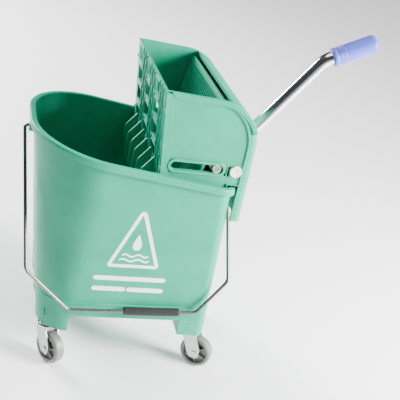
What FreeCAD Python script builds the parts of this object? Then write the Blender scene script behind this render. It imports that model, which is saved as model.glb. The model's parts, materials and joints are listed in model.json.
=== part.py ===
import FreeCAD
import Part
import Sketcher
import math
import os
from FreeCAD import Placement, Rotation, Vector

# A small wheeled mop bucket with a lever press, in millimetres.
# X runs from the pouring end (-X) to the wringer end (+X), -Y is the front, Z = 0 is the floor.

SIZES = {
    # moulded tub: plan outline at the feet of its legs and at a level above its rim
    "foot_level": 70, "top_level": 420,
    "foot_pour": 137, "top_pour": 175, "foot_press": 144, "top_press": 126,
    "foot_width": 230, "top_width": 279,
    "foot_round_pour": 48, "top_round_pour": 118, "foot_round_press": 16, "top_round_press": 24,
    "tub_wall": 3, "base_level": 100, "leg_size": 48,
    "rest_level": 311.5, "rest_rib": 8, "rest_pour": 26, "rest_press": 92, "rest_side": 112,
    "rim_level": 375, "rim_fall": 0.13, "lip_height": 11, "lip_side": 7, "lip_press": 4, "lip_wall": 2.5,
    # castors: places, turns at rest, and one castor's own sizes
    "castor_pour": -118, "castor_press": 130, "castor_pour_side": 88, "castor_press_side": 90,
    "yaw_pour_front": -56, "yaw_pour_back": 60, "yaw_press_front": -35, "yaw_press_back": -20,
    "stem_radius": 5.5, "stem_top": 96, "socket_radius": 8.5, "boss_radius": 12, "race_radius": 16,
    "race_level": 63, "race_height": 4, "kingpin_radius": 4, "kingpin_head": 2, "fork_plate": 2.5,
    "fork_gap": 21, "cheek": 2.2, "cheek_back": 10, "cheek_front": 13, "cheek_foot": 9, "cheek_round": 7,
    "trail": 16, "wheel_radius": 28, "wheel_width": 18, "wheel_hub": 8, "tread_round": 4,
    "rivet_radius": 3, "rivet_head": 1.8, "running": 0.05, "gap": 0.3,
    # bail: a bent wire on a line that runs just below the sloping rim
    "bail_radius": 2.75, "bail_pour": 184.5, "bail_press": 157, "bail_pour_level": 374.6,
    "bail_press_level": 328.3, "knee_pour": 167, "knee_press": 157, "knee_level": 190, "bail_front": 127,
    "bar_pour": 94, "bar_press": 116, "bar_pour_level": 120, "bar_press_level": 125,
    "knee_bend": 14, "hook_bend": 4.5, "bail_hook": 3,
    "bail_grip_radius": 6.6, "bail_grip_length": 92, "bail_grip_shift": 30, "bail_grip_round": 1.5,
    "bail_boss_radius": 9, "bail_bush_radius": 5, "bail_boss_pour": 177.5, "bail_boss_pour_length": 11.5,
    "bail_boss_press": 136, "bail_boss_press_length": 9.5,
    # wringer housing
    "shell": 4, "side": 126.5, "throat_pour": -6, "throat_level": 500, "shoulder_level": 492,
    "shoulder": 151, "shoulder_round": 75, "skirt_level": 300, "skirt_inner": 134, "hook_level": 361.5,
    "throat_foot": 14, "throat_foot_level": 312, "hook_inner": 117, "mouth_press": 98,
    "slot_pour": 22, "slot_press": 103, "slot_half": 6.5, "tie_low": 314, "tie_size": 8,
    "lever_slot": 18, "lever_slot_low": 340, "lever_slot_high": 408, "bail_notch": 7, "bail_notch_level": 346,
    # sieve plate
    "sieve_wall": 4, "sieve_low": 314, "sieve_slot": 36, "sieve_slot_height": 24, "sieve_pitch": 76,
    "sieve_row": 34, "sieve_columns": 3, "sieve_rows": 5, "sieve_first": 335, "sieve_shift": 12,
    "fin_count": 6, "fin_wall": 3, "fin_reach": 26, "fin_level": 384, "fin_pitch": 35,
    "screw_low": 380, "screw_high": 470, "screw_radius": 3.5, "screw_head": 1.6, "screw_lean": 0.107,
    # press plate, and the pin that carries it along the side slots
    "press_foot": 60, "press_foot_level": 324, "press_head": 90, "press_head_level": 485,
    "press_wall": 6, "press_side_gap": 2.5, "ear_wall": 8, "ear_place": 92, "ear_foot": 24, "ear_reach": 10,
    "pin_place": 94, "pin_level": 387, "pin_radius": 5, "pin_end": 1.5, "slider_radius": 6.2,
    "slider_width": 6, "roller_radius": 9, "roller_width": 9,
    # lever: its pivot, spiral cams, return springs, bracket, bent tube and grip
    "pivot_place": 124, "pivot_level": 386, "axle_radius": 6, "axle_end": 1.5, "bush_radius": 8,
    "bush_flange": 10.5, "bush_cap": 3.5, "bush_round": 1,
    "cam_place": 110, "cam_wall": 6, "cam_hub": 14, "cam_hub_width": 12, "cam_rise": 0.94,
    "cam_sweep": 54, "cam_tip": 10,
    "spring_coil": 8.6, "spring_wire": 1.2, "spring_pitch": 3.2, "spring_turns": 5, "spring_place": 78,
    "lever_side": 28, "bracket_width": 34, "bracket_radius": 13, "sleeve_radius": 13, "sleeve_reach": 25,
    "bolt_place": 19, "bolt_radius": 2.5, "bolt_head": 2, "tube_inset": 9,
    "tube_radius": 11, "tube_wall": 1.5, "elbow_place": 190, "elbow_level": 391, "bend_place": 287,
    "bend_level": 533, "tube_end_place": 366, "tube_end_level": 573, "elbow_bend": 32, "grip_bend": 40,
    "grip_radius": 16, "grip_length": 80, "grip_cap": 5, "grip_round": 5,
}

doc = FreeCAD.newDocument("mop_bucket")
dim = doc.addObject("Spreadsheet::Sheet", "dim")
for row, (alias, value) in enumerate(SIZES.items(), start=1):
    dim.set("A%d" % row, alias)
    dim.set("B%d" % row, str(value))
    dim.setAlias("B%d" % row, alias)
doc.recompute()

UP = Vector(0, 0, 1)
ALONG_Y = Rotation(Vector(1, 0, 0), -90)
UPRIGHT = Rotation(Vector(1, 0, 0), 90)
parts = []


def text(expression):
    """Write a sheet expression: bare words that are cells of the sheet get its name in front."""
    words = str(expression).split()
    return " ".join("dim." + word if word in SIZES else word for word in words)


def value(expression):
    """Work out an expression as a plain number."""
    result = dim.evalExpression(text(expression))
    return float(getattr(result, "Value", result))


def bind(thing, **expressions):
    """Bind properties to the sheet; place_x, place_y and place_z stand for the position."""
    for name, expression in expressions.items():
        path = name.replace("place_", "Placement.Base.")
        thing.setExpression(path, text(expression))
    return thing


def add(kind, name, turn=None, **expressions):
    thing = doc.addObject(kind, name)
    if turn:
        thing.Placement = Placement(Vector(), turn)
    return bind(thing, **expressions)


def box(name, x_range, y_range, z_range):
    spans = zip(("Length", "Width", "Height"), ("place_x", "place_y", "place_z"), (x_range, y_range, z_range))
    sizes = {}
    for length, place, (low, high) in spans:
        sizes[length] = "( %s ) - ( %s )" % (high, low)
        sizes[place] = low
    return add("Part::Box", name, **sizes)


def rod(name, radius, turn, start, length):
    """A cylinder from a start point: turn None is along Z and ALONG_Y along Y."""
    x, y, z = start
    return add("Part::Cylinder", name, turn, Radius=radius, Height=length, place_x=x, place_y=y, place_z=z)


def rounded_ends(name, base, radius):
    """Round the circular edges at the ends of a rod."""
    doc.recompute()
    rims = [index for index, edge in enumerate(base.Shape.Edges, start=1) if edge.Closed]
    thing = doc.addObject("Part::Fillet", name)
    thing.Base = base
    thing.Edges = [(index, value(radius), value(radius)) for index in rims]
    return thing


def fuse(name, *shapes):
    thing = doc.addObject("Part::MultiFuse", name)
    thing.Shapes = list(shapes)
    return thing


def cut(name, base, *tools):
    thing = doc.addObject("Part::Cut", name)
    thing.Base = base
    thing.Tool = tools[0] if len(tools) == 1 else fuse(name + "_tools", *tools)
    return thing


def common(name, first, second):
    thing = doc.addObject("Part::Common", name)
    thing.Base = first
    thing.Tool = second
    return thing


def group(name, *shapes):
    thing = doc.addObject("Part::Compound", name)
    thing.Links = list(shapes)
    return thing


def keep(thing, label):
    """Name a finished sub-part; its label names its file."""
    thing.Label = label
    parts.append(thing)
    return thing


def outline(name, corners, turn=None, level=None, closed=True):
    """A fully constrained sketch of straight runs. A corner is (x, y) or (x, y, radius)."""
    sketch = doc.addObject("Sketcher::SketchObject", name)
    if turn:
        sketch.Placement = Placement(Vector(), turn)
    if level:
        bind(sketch, place_z=level)
    points = [Vector(value(corner[0]), value(corner[1]), 0) for corner in corners]
    count = len(points)
    joins = []
    for index, corner in enumerate(corners):
        rounded = len(corner) == 3 and value(corner[2]) > 0
        if not rounded:
            joins.append((points[index], points[index], None))
            continue
        back = (points[index - 1] - points[index]).normalize()
        ahead = (points[(index + 1) % count] - points[index]).normalize()
        half = back.getAngle(ahead) / 2
        radius = value(corner[2])
        centre = points[index] + (back + ahead).normalize() * (radius / math.sin(half))
        start = points[index] + back * (radius / math.tan(half))
        end = points[index] + ahead * (radius / math.tan(half))
        joins.append((start, end, (centre, radius, back.cross(ahead).z < 0)))
    runs = count if closed else count - 1
    for index in range(runs):
        sketch.addGeometry(Part.LineSegment(joins[index][1], joins[(index + 1) % count][0]))
    for index, corner in enumerate(corners):
        before = (index - 1) % count
        start, end, arc = joins[index]
        if arc:
            centre, radius, left = arc
            first, last = (start, end) if left else (end, start)
            angles = [math.atan2(point.y - centre.y, point.x - centre.x) for point in (first, last)]
            curve = Part.ArcOfCircle(Part.Circle(centre, UP, radius), angles[0], angles[1])
            bend = sketch.addGeometry(curve)
            ends = (1, 2) if left else (2, 1)
            sketch.addConstraint(Sketcher.Constraint("Tangent", before, 2, bend, ends[0]))
            sketch.addConstraint(Sketcher.Constraint("Tangent", bend, ends[1], index, 1))
            size = sketch.addConstraint(Sketcher.Constraint("Radius", bend, radius))
            sketch.renameConstraint(size, "round_%d" % index)
            sketch.setExpression("Constraints.round_%d" % index, text(corner[2]))
            mark = sketch.addGeometry(Part.Point(points[index]), True)
            sketch.addConstraint(Sketcher.Constraint("PointOnObject", mark, 1, before))
            sketch.addConstraint(Sketcher.Constraint("PointOnObject", mark, 1, index))
            held = (mark, 1)
        elif closed or 0 < index < count - 1:
            sketch.addConstraint(Sketcher.Constraint("Coincident", before, 2, index, 1))
            held = (index, 1)
        else:
            held = (index, 1) if index == 0 else (before, 2)
        for kind, letter, place in (("DistanceX", "x", points[index].x), ("DistanceY", "y", points[index].y)):
            size = sketch.addConstraint(Sketcher.Constraint(kind, -1, 1, held[0], held[1], place))
            sketch.renameConstraint(size, "%s_%d" % (letter, index))
            sketch.setExpression("Constraints.%s_%d" % (letter, index), text(corner[letter == "y"]))
    return sketch


def slab(name, corners, low, high):
    """An outline in X and Z, made solid from one Y to another."""
    solid = doc.addObject("Part::Extrusion", name)
    solid.Base = outline(name + "_outline", corners, UPRIGHT)
    solid.DirMode = "Custom"
    solid.Dir = Vector(0, 1, 0)
    solid.Solid = True
    return bind(solid, LengthFwd="( %s ) - ( %s )" % (high, low), place_y=low)


def bent_path(points, radii):
    """A wire of straight runs joined by tangent arcs."""
    edges = []
    start = points[0]
    for index in range(1, len(points) - 1):
        back = (points[index - 1] - points[index]).normalize()
        ahead = (points[index + 1] - points[index]).normalize()
        half = back.getAngle(ahead) / 2
        reach = radii[index - 1] / math.tan(half)
        centre = points[index] + (back + ahead).normalize() * (radii[index - 1] / math.sin(half))
        middle = centre + (points[index] - centre).normalize() * radii[index - 1]
        arc_start = points[index] + back * reach
        arc_end = points[index] + ahead * reach
        edges.append(Part.LineSegment(start, arc_start).toShape())
        edges.append(Part.Arc(arc_start, middle, arc_end).toShape())
        start = arc_end
    edges.append(Part.LineSegment(start, points[-1]).toShape())
    return Part.Wire(edges)


def round_sweep(path, radius):
    """A solid round bar along a path."""
    first = path.Edges[0]
    start = first.valueAt(first.FirstParameter)
    direction = first.tangentAt(first.FirstParameter)
    ring = Part.Wire(Part.makeCircle(radius, start, direction))
    return path.makePipeShell([ring], True, False)


def tub_form(name, side, pour, press):
    """The tub's tapering form, grown outwards by an amount on its sides and on each end."""
    sections = []
    for stage in ("foot", "top"):
        pour_end = "- %s_pour - ( %s )" % (stage, pour)
        press_end = "%s_press + ( %s )" % (stage, press)
        back = "%s_width / 2 + ( %s )" % (stage, side)
        front = "- ( %s )" % back
        round_pour = "%s_round_pour + ( %s )" % (stage, side)
        round_press = "%s_round_press + ( %s )" % (stage, press)
        corners = [
            (pour_end, front, round_pour), (press_end, front, round_press),
            (press_end, back, round_press), (pour_end, back, round_pour),
        ]
        sections.append(outline("%s_%s" % (name, stage), corners, level="%s_level" % stage))
    loft = doc.addObject("Part::Loft", name)
    loft.Sections = sections
    loft.Solid = True
    loft.Ruled = True
    return loft


def below_rim(name, depth, low):
    """A slab under the sloping rim, from a depth below it down to a lower depth."""
    ends = ("-260", "260")
    rim = ["rim_level - rim_fall * ( %s )" % place for place in ends]
    corners = [(ends[0], "%s - ( %s )" % (rim[0], low)), (ends[1], "%s - ( %s )" % (rim[1], low)),
               (ends[1], "%s - ( %s )" % (rim[1], depth)), (ends[0], "%s - ( %s )" % (rim[0], depth))]
    return slab(name, corners, "-200", "200")


def bail_line():
    """The two outer ends of the line that the bail turns on."""
    pour = Vector(value("- bail_pour"), 0, value("bail_pour_level"))
    press = Vector(value("bail_press"), 0, value("bail_press_level"))
    return pour, press


def on_bail_line(place):
    """The point of the bail's line at an X place."""
    pour, press = bail_line()
    return pour + (press - pour) * ((place - pour.x) / (press.x - pour.x))


def along_bail(label, radius, spans, bore=0):
    """Round pieces on the bail's line, one for each pair of X places."""
    pieces = []
    for low, high in spans:
        start = on_bail_line(low)
        run = on_bail_line(high) - start
        piece = Part.makeCylinder(radius, run.Length, start, run)
        if bore:
            piece = piece.cut(Part.makeCylinder(bore, run.Length, start, run))
        pieces.append(piece)
    thing = doc.addObject("Part::Feature", label)
    thing.Shape = Part.makeCompound(pieces)
    return thing


def bail_spans():
    """Where the bail bosses stand on the two end walls, as X places."""
    pour = value("- bail_boss_pour")
    press = value("bail_boss_press")
    return (pour, pour + value("bail_boss_pour_length")), (press - value("bail_boss_press_length"), press)


def corner_tags():
    """The four corners: its name, the end of the tub, and the sign of its side."""
    for end in ("pour", "press"):
        for side, word in ((-1, "front"), (1, "back")):
            yield "%s_%s" % (end, word), end, side


def make_tub():
    outer = tub_form("tub_outer", "0", "0", "0")
    inner = tub_form("tub_inner", "- tub_wall", "- tub_wall", "- tub_wall")
    lip_outer = tub_form("lip_outer", "lip_side", "lip_side", "lip_press")
    inset = "lip_side - lip_wall"
    lip_inner = tub_form("lip_inner", inset, inset, "lip_press - lip_wall")
    walls = common("tub_walls", outer, below_rim("tub_height", "0", "rim_level"))
    lip = common("lip_band", lip_outer, below_rim("lip_slab", "0", "lip_height"))
    groove = common("lip_groove", cut("lip_ring", lip_inner, outer),
                    below_rim("groove_slab", "lip_wall", "lip_height + 1"))
    above_floor = box("above_floor", ("-260", "260"), ("-200", "200"), ("base_level + tub_wall", "top_level"))
    cavity = common("cavity", inner, above_floor)

    # two crossing channels under the floor leave the four legs
    leg_pour = "- foot_pour + leg_size"
    leg_press = "foot_press - leg_size"
    leg_side = "foot_width / 2 - leg_size"
    across = box("channel_across", (leg_pour, leg_press), ("-200", "200"), ("0", "base_level"))
    along = box("channel_along", ("-260", "260"), ("- ( %s )" % leg_side, leg_side), ("0", "base_level"))
    spaces = []
    bosses = []
    bores = []
    ribs = []
    for tag, end, side in corner_tags():
        x_range = ("-260", leg_pour + " - tub_wall")
        if end == "press":
            x_range = (leg_press + " + tub_wall", "260")
        y_range = ("-200", "- ( %s ) - tub_wall" % leg_side)
        if side > 0:
            y_range = (leg_side + " + tub_wall", "200")
        spaces.append(box("leg_space_" + tag, x_range, y_range, ("0", "base_level - tub_wall")))
        place = ("castor_" + end, "castor_%s_side * ( %d )" % (end, side), "foot_level")
        bosses.append(rod("leg_boss_" + tag, "boss_radius", None, place, "base_level - foot_level"))
        bores.append(rod("leg_bore_" + tag, "socket_radius", None, place, "stem_top - foot_level"))
        rib_x = ("rest_" + end, "rest_%s + rest_rib" % end)
        rib_y = ("-150", "- rest_side") if side < 0 else ("rest_side", "150")
        ribs.append(box("rest_rib_" + tag, rib_x, rib_y, ("base_level", "rest_level")))
    leg_hollows = common("leg_hollows", inner, fuse("leg_spaces", *spaces))
    rests = common("wringer_rests", outer, fuse("rest_ribs", *ribs))
    shell = cut("tub_shell", fuse("tub_blank", walls, lip), groove, cavity, across, along, leg_hollows)
    bail_bosses = along_bail("bail_bosses", value("bail_boss_radius"), bail_spans())
    bail_bores = along_bail("bail_bores", value("bail_bush_radius"), bail_spans())
    solid = fuse("tub_with_bosses", shell, rests, bail_bosses, *bosses)
    keep(cut("tub_solid", solid, bail_bores, *bores), "bucket_tub")


def make_sockets_and_bushes():
    sockets = []
    for tag, end, side in corner_tags():
        place = ("castor_" + end, "castor_%s_side * ( %d )" % (end, side), "foot_level")
        sleeve = rod("socket_sleeve_" + tag, "socket_radius", None, place, "stem_top - foot_level")
        bore = rod("socket_bore_" + tag, "stem_radius", None, place, "stem_top - foot_level")
        sockets.append(cut("socket_" + tag, sleeve, bore))
    keep(group("socket_group", *sockets), "castor_sockets")
    bore = value("bail_radius + running")
    keep(along_bail("bush_group", value("bail_bush_radius"), bail_spans(), bore), "bail_bushes")


def make_castor(tag, place, yaw):
    """One swivel castor: a fixed stem with its race, a fork that swivels on it, an axle and a wheel."""
    spot = Placement(Vector(place[0], place[1], 0), Rotation(UP, yaw))
    plate_low = "race_level - gap - fork_plate"
    pin_low = "%s - gap - kingpin_head" % plate_low
    stem_top = rod("stem_rod_" + tag, "stem_radius", None, ("0", "0", "foot_level"), "stem_top - foot_level")
    race = rod("stem_race_" + tag, "race_radius", None, ("0", "0", "race_level"), "race_height")
    neck = rod("stem_neck_" + tag, "boss_radius", None, ("0", "0", "race_level"), "foot_level - race_level")
    kingpin = rod("kingpin_" + tag, "kingpin_radius", None, ("0", "0", pin_low),
                  "race_level - ( %s )" % pin_low)
    head = rod("kingpin_head_" + tag, "kingpin_radius + 2.5", None, ("0", "0", pin_low), "kingpin_head")
    stem = fuse("stem_" + tag, stem_top, race, neck, kingpin, head)

    plate = rod("fork_plate_" + tag, "race_radius", None, ("0", "0", plate_low), "fork_plate")
    hole = rod("fork_hole_" + tag, "kingpin_radius + running", None, ("0", "0", plate_low), "fork_plate")
    cheeks = []
    for word, low, high in (("near", "- fork_gap / 2 - cheek", "- fork_gap / 2"),
                            ("far", "fork_gap / 2", "fork_gap / 2 + cheek")):
        corners = [
            ("- cheek_back", plate_low + " + fork_plate"), ("- cheek_back", plate_low + " - 5", "4"),
            ("trail - cheek_foot", "wheel_radius - cheek_foot", "cheek_round"),
            ("trail + cheek_foot", "wheel_radius - cheek_foot", "cheek_round"),
            ("trail + cheek_foot", "wheel_radius + cheek_foot", "5"),
            ("cheek_front", plate_low + " + fork_plate"),
        ]
        cheeks.append(slab("cheek_%s_%s" % (word, tag), corners, low, high))
    width = "fork_gap + 2 * cheek"
    left = "- ( %s ) / 2" % width
    axle_start = ("trail", left, "wheel_radius")
    axle_hole = rod("axle_hole_" + tag, "rivet_radius", ALONG_Y, axle_start, width)
    fork = cut("fork_" + tag, fuse("fork_blank_" + tag, plate, *cheeks), hole, axle_hole)

    pieces = [rod("axle_rod_" + tag, "rivet_radius", ALONG_Y, axle_start, width)]
    for word, start in (("near", "%s - rivet_head" % left), ("far", "( %s ) / 2" % width)):
        pieces.append(rod("axle_head_%s_%s" % (word, tag), "rivet_radius + 1.8", ALONG_Y,
                          ("trail", start, "wheel_radius"), "rivet_head"))
    axle = fuse("axle_" + tag, *pieces)

    tread_start = ("trail", "- wheel_width / 2", "wheel_radius")
    tread = rod("tread_" + tag, "wheel_radius", ALONG_Y, tread_start, "wheel_width")
    rounded = rounded_ends("round_tread_" + tag, tread, "tread_round")
    hub_start = ("trail", "- fork_gap / 2 + gap", "wheel_radius")
    hub = rod("hub_" + tag, "wheel_hub", ALONG_Y, hub_start, "fork_gap - 2 * gap")
    bore = rod("wheel_bore_" + tag, "rivet_radius + running", ALONG_Y, hub_start, "fork_gap - 2 * gap")
    wheel = cut("wheel_" + tag, fuse("wheel_blank_" + tag, rounded, hub), bore)
    for thing, label in ((stem, "castor_stem"), (fork, "castor_fork"), (axle, "castor_axle"),
                         (wheel, "castor_wheel")):
        thing.Placement = spot
        keep(thing, "%s_%s" % (label, tag))


def make_bail():
    pour, press = bail_line()
    front = value("- bail_front")
    spans = bail_spans()
    hook_pour = on_bail_line(spans[0][1] + value("bail_hook"))
    hook_press = on_bail_line(spans[1][0] - value("bail_hook"))
    bar_start = Vector(value("- bar_pour"), front, value("bar_pour_level"))
    bar_end = Vector(value("bar_press"), front, value("bar_press_level"))
    knee_pour = Vector(value("- knee_pour"), front, value("knee_level"))
    knee_press = Vector(value("knee_press"), front, value("knee_level"))
    points = [hook_pour, pour, knee_pour, bar_start, bar_end, knee_press, press, hook_press]
    hook = value("hook_bend")
    knee = value("knee_bend")
    wire = doc.addObject("Part::Feature", "bail_rod")
    wire.Shape = round_sweep(bent_path(points, [hook, knee, knee, knee, knee, hook]), value("bail_radius"))
    keep(wire, "bail_wire")

    bar = (bar_end - bar_start).normalize()
    length = value("bail_grip_length")
    start = (bar_start + bar_end) * 0.5 + bar * (value("bail_grip_shift") - length / 2)
    sleeve = Part.makeCylinder(value("bail_grip_radius"), length, start, bar)
    sleeve = sleeve.makeFillet(value("bail_grip_round"), [edge for edge in sleeve.Edges if edge.Closed])
    grip = doc.addObject("Part::Feature", "bail_sleeve")
    grip.Shape = sleeve.cut(Part.makeCylinder(value("bail_radius"), length, start, bar))
    keep(grip, "bail_grip")


def make_housing():
    profile = [
        ("throat_pour", "throat_level"), ("throat_foot", "throat_foot_level"),
        ("hook_inner", "throat_foot_level"), ("hook_inner", "hook_level"),
        ("skirt_inner", "hook_level"), ("skirt_inner", "skirt_level"),
        ("shoulder", "skirt_level"), ("shoulder", "shoulder_level", "shoulder_round"),
    ]
    blank = slab("housing_blank", profile, "- side", "side")
    low = "- side + shell"
    high = "side - shell"
    space = [
        ("-60", "200"), ("shoulder - shell", "200"),
        ("shoulder - shell", "shoulder_level - shell", "shoulder_round - shell"),
        ("-60", "throat_level - shell"),
    ]
    cuts = [slab("chamber_space", space, low, high)]
    cuts.append(box("mouth_space", ("-60", "mouth_press"), (low, high), ("throat_foot_level", "560")))
    slot_x = ("slot_pour + slot_half", "slot_press - slot_half")
    slot_z = ("pin_level - slot_half", "pin_level + slot_half")
    cuts.append(box("side_slot", slot_x, ("-200", "200"), slot_z))
    for end, place in zip(("pour", "press"), slot_x):
        cuts.append(rod("side_slot_" + end, "slot_half", ALONG_Y, (place, "-200", "pin_level"), "400"))
    cuts.append(rod("bush_hole", "bush_radius", ALONG_Y, ("pivot_place", "-200", "pivot_level"), "400"))
    skirt_x = ("skirt_inner", "200")
    lever_y = ("lever_side - lever_slot", "lever_side + lever_slot")
    cuts.append(box("lever_slot", skirt_x, lever_y, ("lever_slot_low", "lever_slot_high")))
    cuts.append(box("bail_notch", skirt_x, ("- bail_notch", "bail_notch"), ("0", "bail_notch_level")))
    tie = box("tie_bar", ("hook_inner - tie_size", "hook_inner"), ("- side + shell / 2", "side - shell / 2"),
              ("tie_low", "tie_low + tie_size"))
    keep(fuse("housing_solid", cut("housing_shell", blank, *cuts), tie), "wringer_housing")


def make_sieve():
    """The fixed, slotted plate: leaning along the throat, with drain fins at its foot."""
    lean = "( throat_foot - throat_pour ) / ( throat_level - throat_foot_level )"
    low = "sieve_low"
    low_x = "throat_pour + ( throat_level - sieve_low ) * %s" % lean
    corners = [
        (low_x, low), ("%s + sieve_wall" % low_x, low), ("throat_pour + sieve_wall", "throat_level"),
        ("throat_pour", "throat_level"),
    ]
    inner = "side - shell"
    plate = slab("sieve_plate_blank", corners, "- ( %s )" % inner, inner)
    slots = []
    for row in range(int(value("sieve_rows"))):
        bottom = "sieve_first + %d * sieve_row" % row
        for column in range(int(value("sieve_columns"))):
            middle = "sieve_shift + ( %d - ( sieve_columns - 1 ) / 2 ) * sieve_pitch" % column
            y_range = ("%s - sieve_slot / 2" % middle, "%s + sieve_slot / 2" % middle)
            slots.append(box("sieve_slot_%d_%d" % (row, column), ("-60", "60"), y_range,
                             (bottom, "%s + sieve_slot_height" % bottom)))
    fins = []
    for index in range(int(value("fin_count"))):
        middle = "( %d - ( fin_count - 1 ) / 2 ) * fin_pitch" % index
        fin = [
            ("%s - fin_reach" % low_x, low), ("%s + 1" % low_x, low),
            ("throat_pour + 1 + ( throat_level - fin_level ) * %s" % lean, "fin_level"),
            ("%s - fin_reach" % low_x, "fin_level - fin_reach", "10"),
        ]
        fin_y = ["%s %s fin_wall / 2" % (middle, sign) for sign in "-+"]
        fins.append(slab("drain_fin_%d" % index, fin, *fin_y))
    keep(fuse("sieve_solid", cut("sieve_slotted", plate, *slots), *fins), "sieve_plate")


def make_press():
    """The moving plate, the pin that carries it, and the pin's sliders and rollers."""
    inner = "side - shell - press_side_gap"
    corners = [
        ("press_foot", "press_foot_level"), ("press_foot + press_wall", "press_foot_level"),
        ("press_head + press_wall", "press_head_level"), ("press_head", "press_head_level"),
    ]
    plate = slab("press_plate_blank", corners, "- ( %s )" % inner, inner)
    lean = "( press_head - press_foot ) / ( press_head_level - press_foot_level )"
    back = "press_foot + press_wall - 1"
    reach = "ear_reach"
    ears = []
    for word, side in (("front", -1), ("back", 1)):
        profile = [
            ("%s + ( pin_level - press_foot_level - ear_foot ) * %s" % (back, lean), "pin_level - ear_foot"),
            ("pin_place + %s" % reach, "pin_level - %s" % reach, reach + " * 0.9"),
            ("pin_place + %s" % reach, "pin_level + %s" % reach, reach + " * 0.9"),
            ("%s + ( pin_level - press_foot_level + ear_foot ) * %s" % (back, lean), "pin_level + ear_foot"),
        ]
        middle = "ear_place * ( %d )" % side
        ear_y = ["%s %s ear_wall / 2" % (middle, sign) for sign in "-+"]
        ears.append(slab("press_ear_" + word, profile, *ear_y))
    start = ("pin_place", "-200", "pin_level")
    bore = rod("press_ear_bore", "pin_radius + running", ALONG_Y, start, "400")
    keep(cut("press_plate_solid", fuse("press_plate_eared", plate, *ears), bore), "press_plate")

    pin_start = ("pin_place", "- side - pin_end", "pin_level")
    keep(rod("press_rod", "pin_radius", ALONG_Y, pin_start, "2 * ( side + pin_end )"), "press_pin")
    sliders = []
    rollers = []
    for word, side in (("front", -1), ("back", 1)):
        slider_low = "( side - shell / 2 ) * ( %d ) - slider_width / 2" % side
        slider_start = ("pin_place", slider_low, "pin_level")
        sleeve = rod("slider_sleeve_" + word, "slider_radius", ALONG_Y, slider_start, "slider_width")
        hole = rod("slider_hole_" + word, "pin_radius", ALONG_Y, slider_start, "slider_width")
        sliders.append(cut("slider_" + word, sleeve, hole))
        roller_start = ("pin_place", "cam_place * ( %d ) - roller_width / 2" % side, "pin_level")
        sleeve = rod("roller_sleeve_" + word, "roller_radius", ALONG_Y, roller_start, "roller_width")
        hole = rod("roller_hole_" + word, "pin_radius", ALONG_Y, roller_start, "roller_width")
        rollers.append(cut("roller_" + word, sleeve, hole))
    keep(group("slider_group", *sliders), "slot_sliders")
    keep(group("roller_group", *rollers), "cam_rollers")


def cam_shape(side):
    """A flat cam whose spiral edge moves the roller out by the same step for each degree of its sweep."""
    pivot = Vector(value("pivot_place"), 0, value("pivot_level"))
    clear = value("roller_radius + gap")
    rise = value("cam_rise")
    steps = 8
    points = []
    for step in range(steps + 1):
        sweep = value("cam_sweep") * step / steps
        angle = math.radians(180 + sweep)
        outward = Vector(math.cos(angle), 0, math.sin(angle))
        around = Vector(-math.sin(angle), 0, math.cos(angle))
        reach = value("pivot_place - pin_place") + rise * sweep
        normal = (outward * reach - around * math.degrees(rise)).normalize()
        points.append(pivot + outward * reach - normal * clear)
    spiral = Part.BSplineCurve()
    spiral.interpolate(points)
    tail = points[-1] + Vector(value("cam_tip"), 0, 0)
    back = pivot + Vector(value("cam_hub") * 0.8, 0, value("cam_hub") * -0.6)
    over = pivot + Vector(value("cam_hub") * -0.6, 0, value("cam_hub") * 0.8)
    edges = [spiral.toShape()]
    for start, end in ((points[-1], tail), (tail, back), (back, over), (over, points[0])):
        edges.append(Part.LineSegment(start, end).toShape())
    plate = Part.Face(Part.Wire(edges)).extrude(Vector(0, value("cam_wall"), 0))
    plate.translate(Vector(0, value("cam_place * ( %d ) - cam_wall / 2" % side), 0))
    width = value("cam_hub_width")
    start = Vector(pivot.x, value("cam_place * ( %d )" % side) - width / 2, pivot.z)
    across = Vector(0, 1, 0)
    solid = plate.fuse(Part.makeCylinder(value("cam_hub"), width, start, across)).removeSplitter()
    return solid.cut(Part.makeCylinder(value("axle_radius"), width, start, across))


def torsion_spring(side):
    """A spring coil round the pivot axle."""
    pitch = value("spring_pitch")
    length = pitch * value("spring_turns")
    coil = value("spring_coil")
    helix = Part.Wire(Part.makeHelix(pitch, length, coil).Edges)
    slope = Vector(0, coil * math.tau, pitch)
    ring = Part.Wire(Part.makeCircle(value("spring_wire"), Vector(coil, 0, 0), slope))
    solid = helix.makePipeShell([ring], True, True)
    middle = value("spring_place * ( %d )" % side)
    start = Vector(value("pivot_place"), middle - length / 2, value("pivot_level"))
    solid.Placement = Placement(start, ALONG_Y)
    return solid


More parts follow.
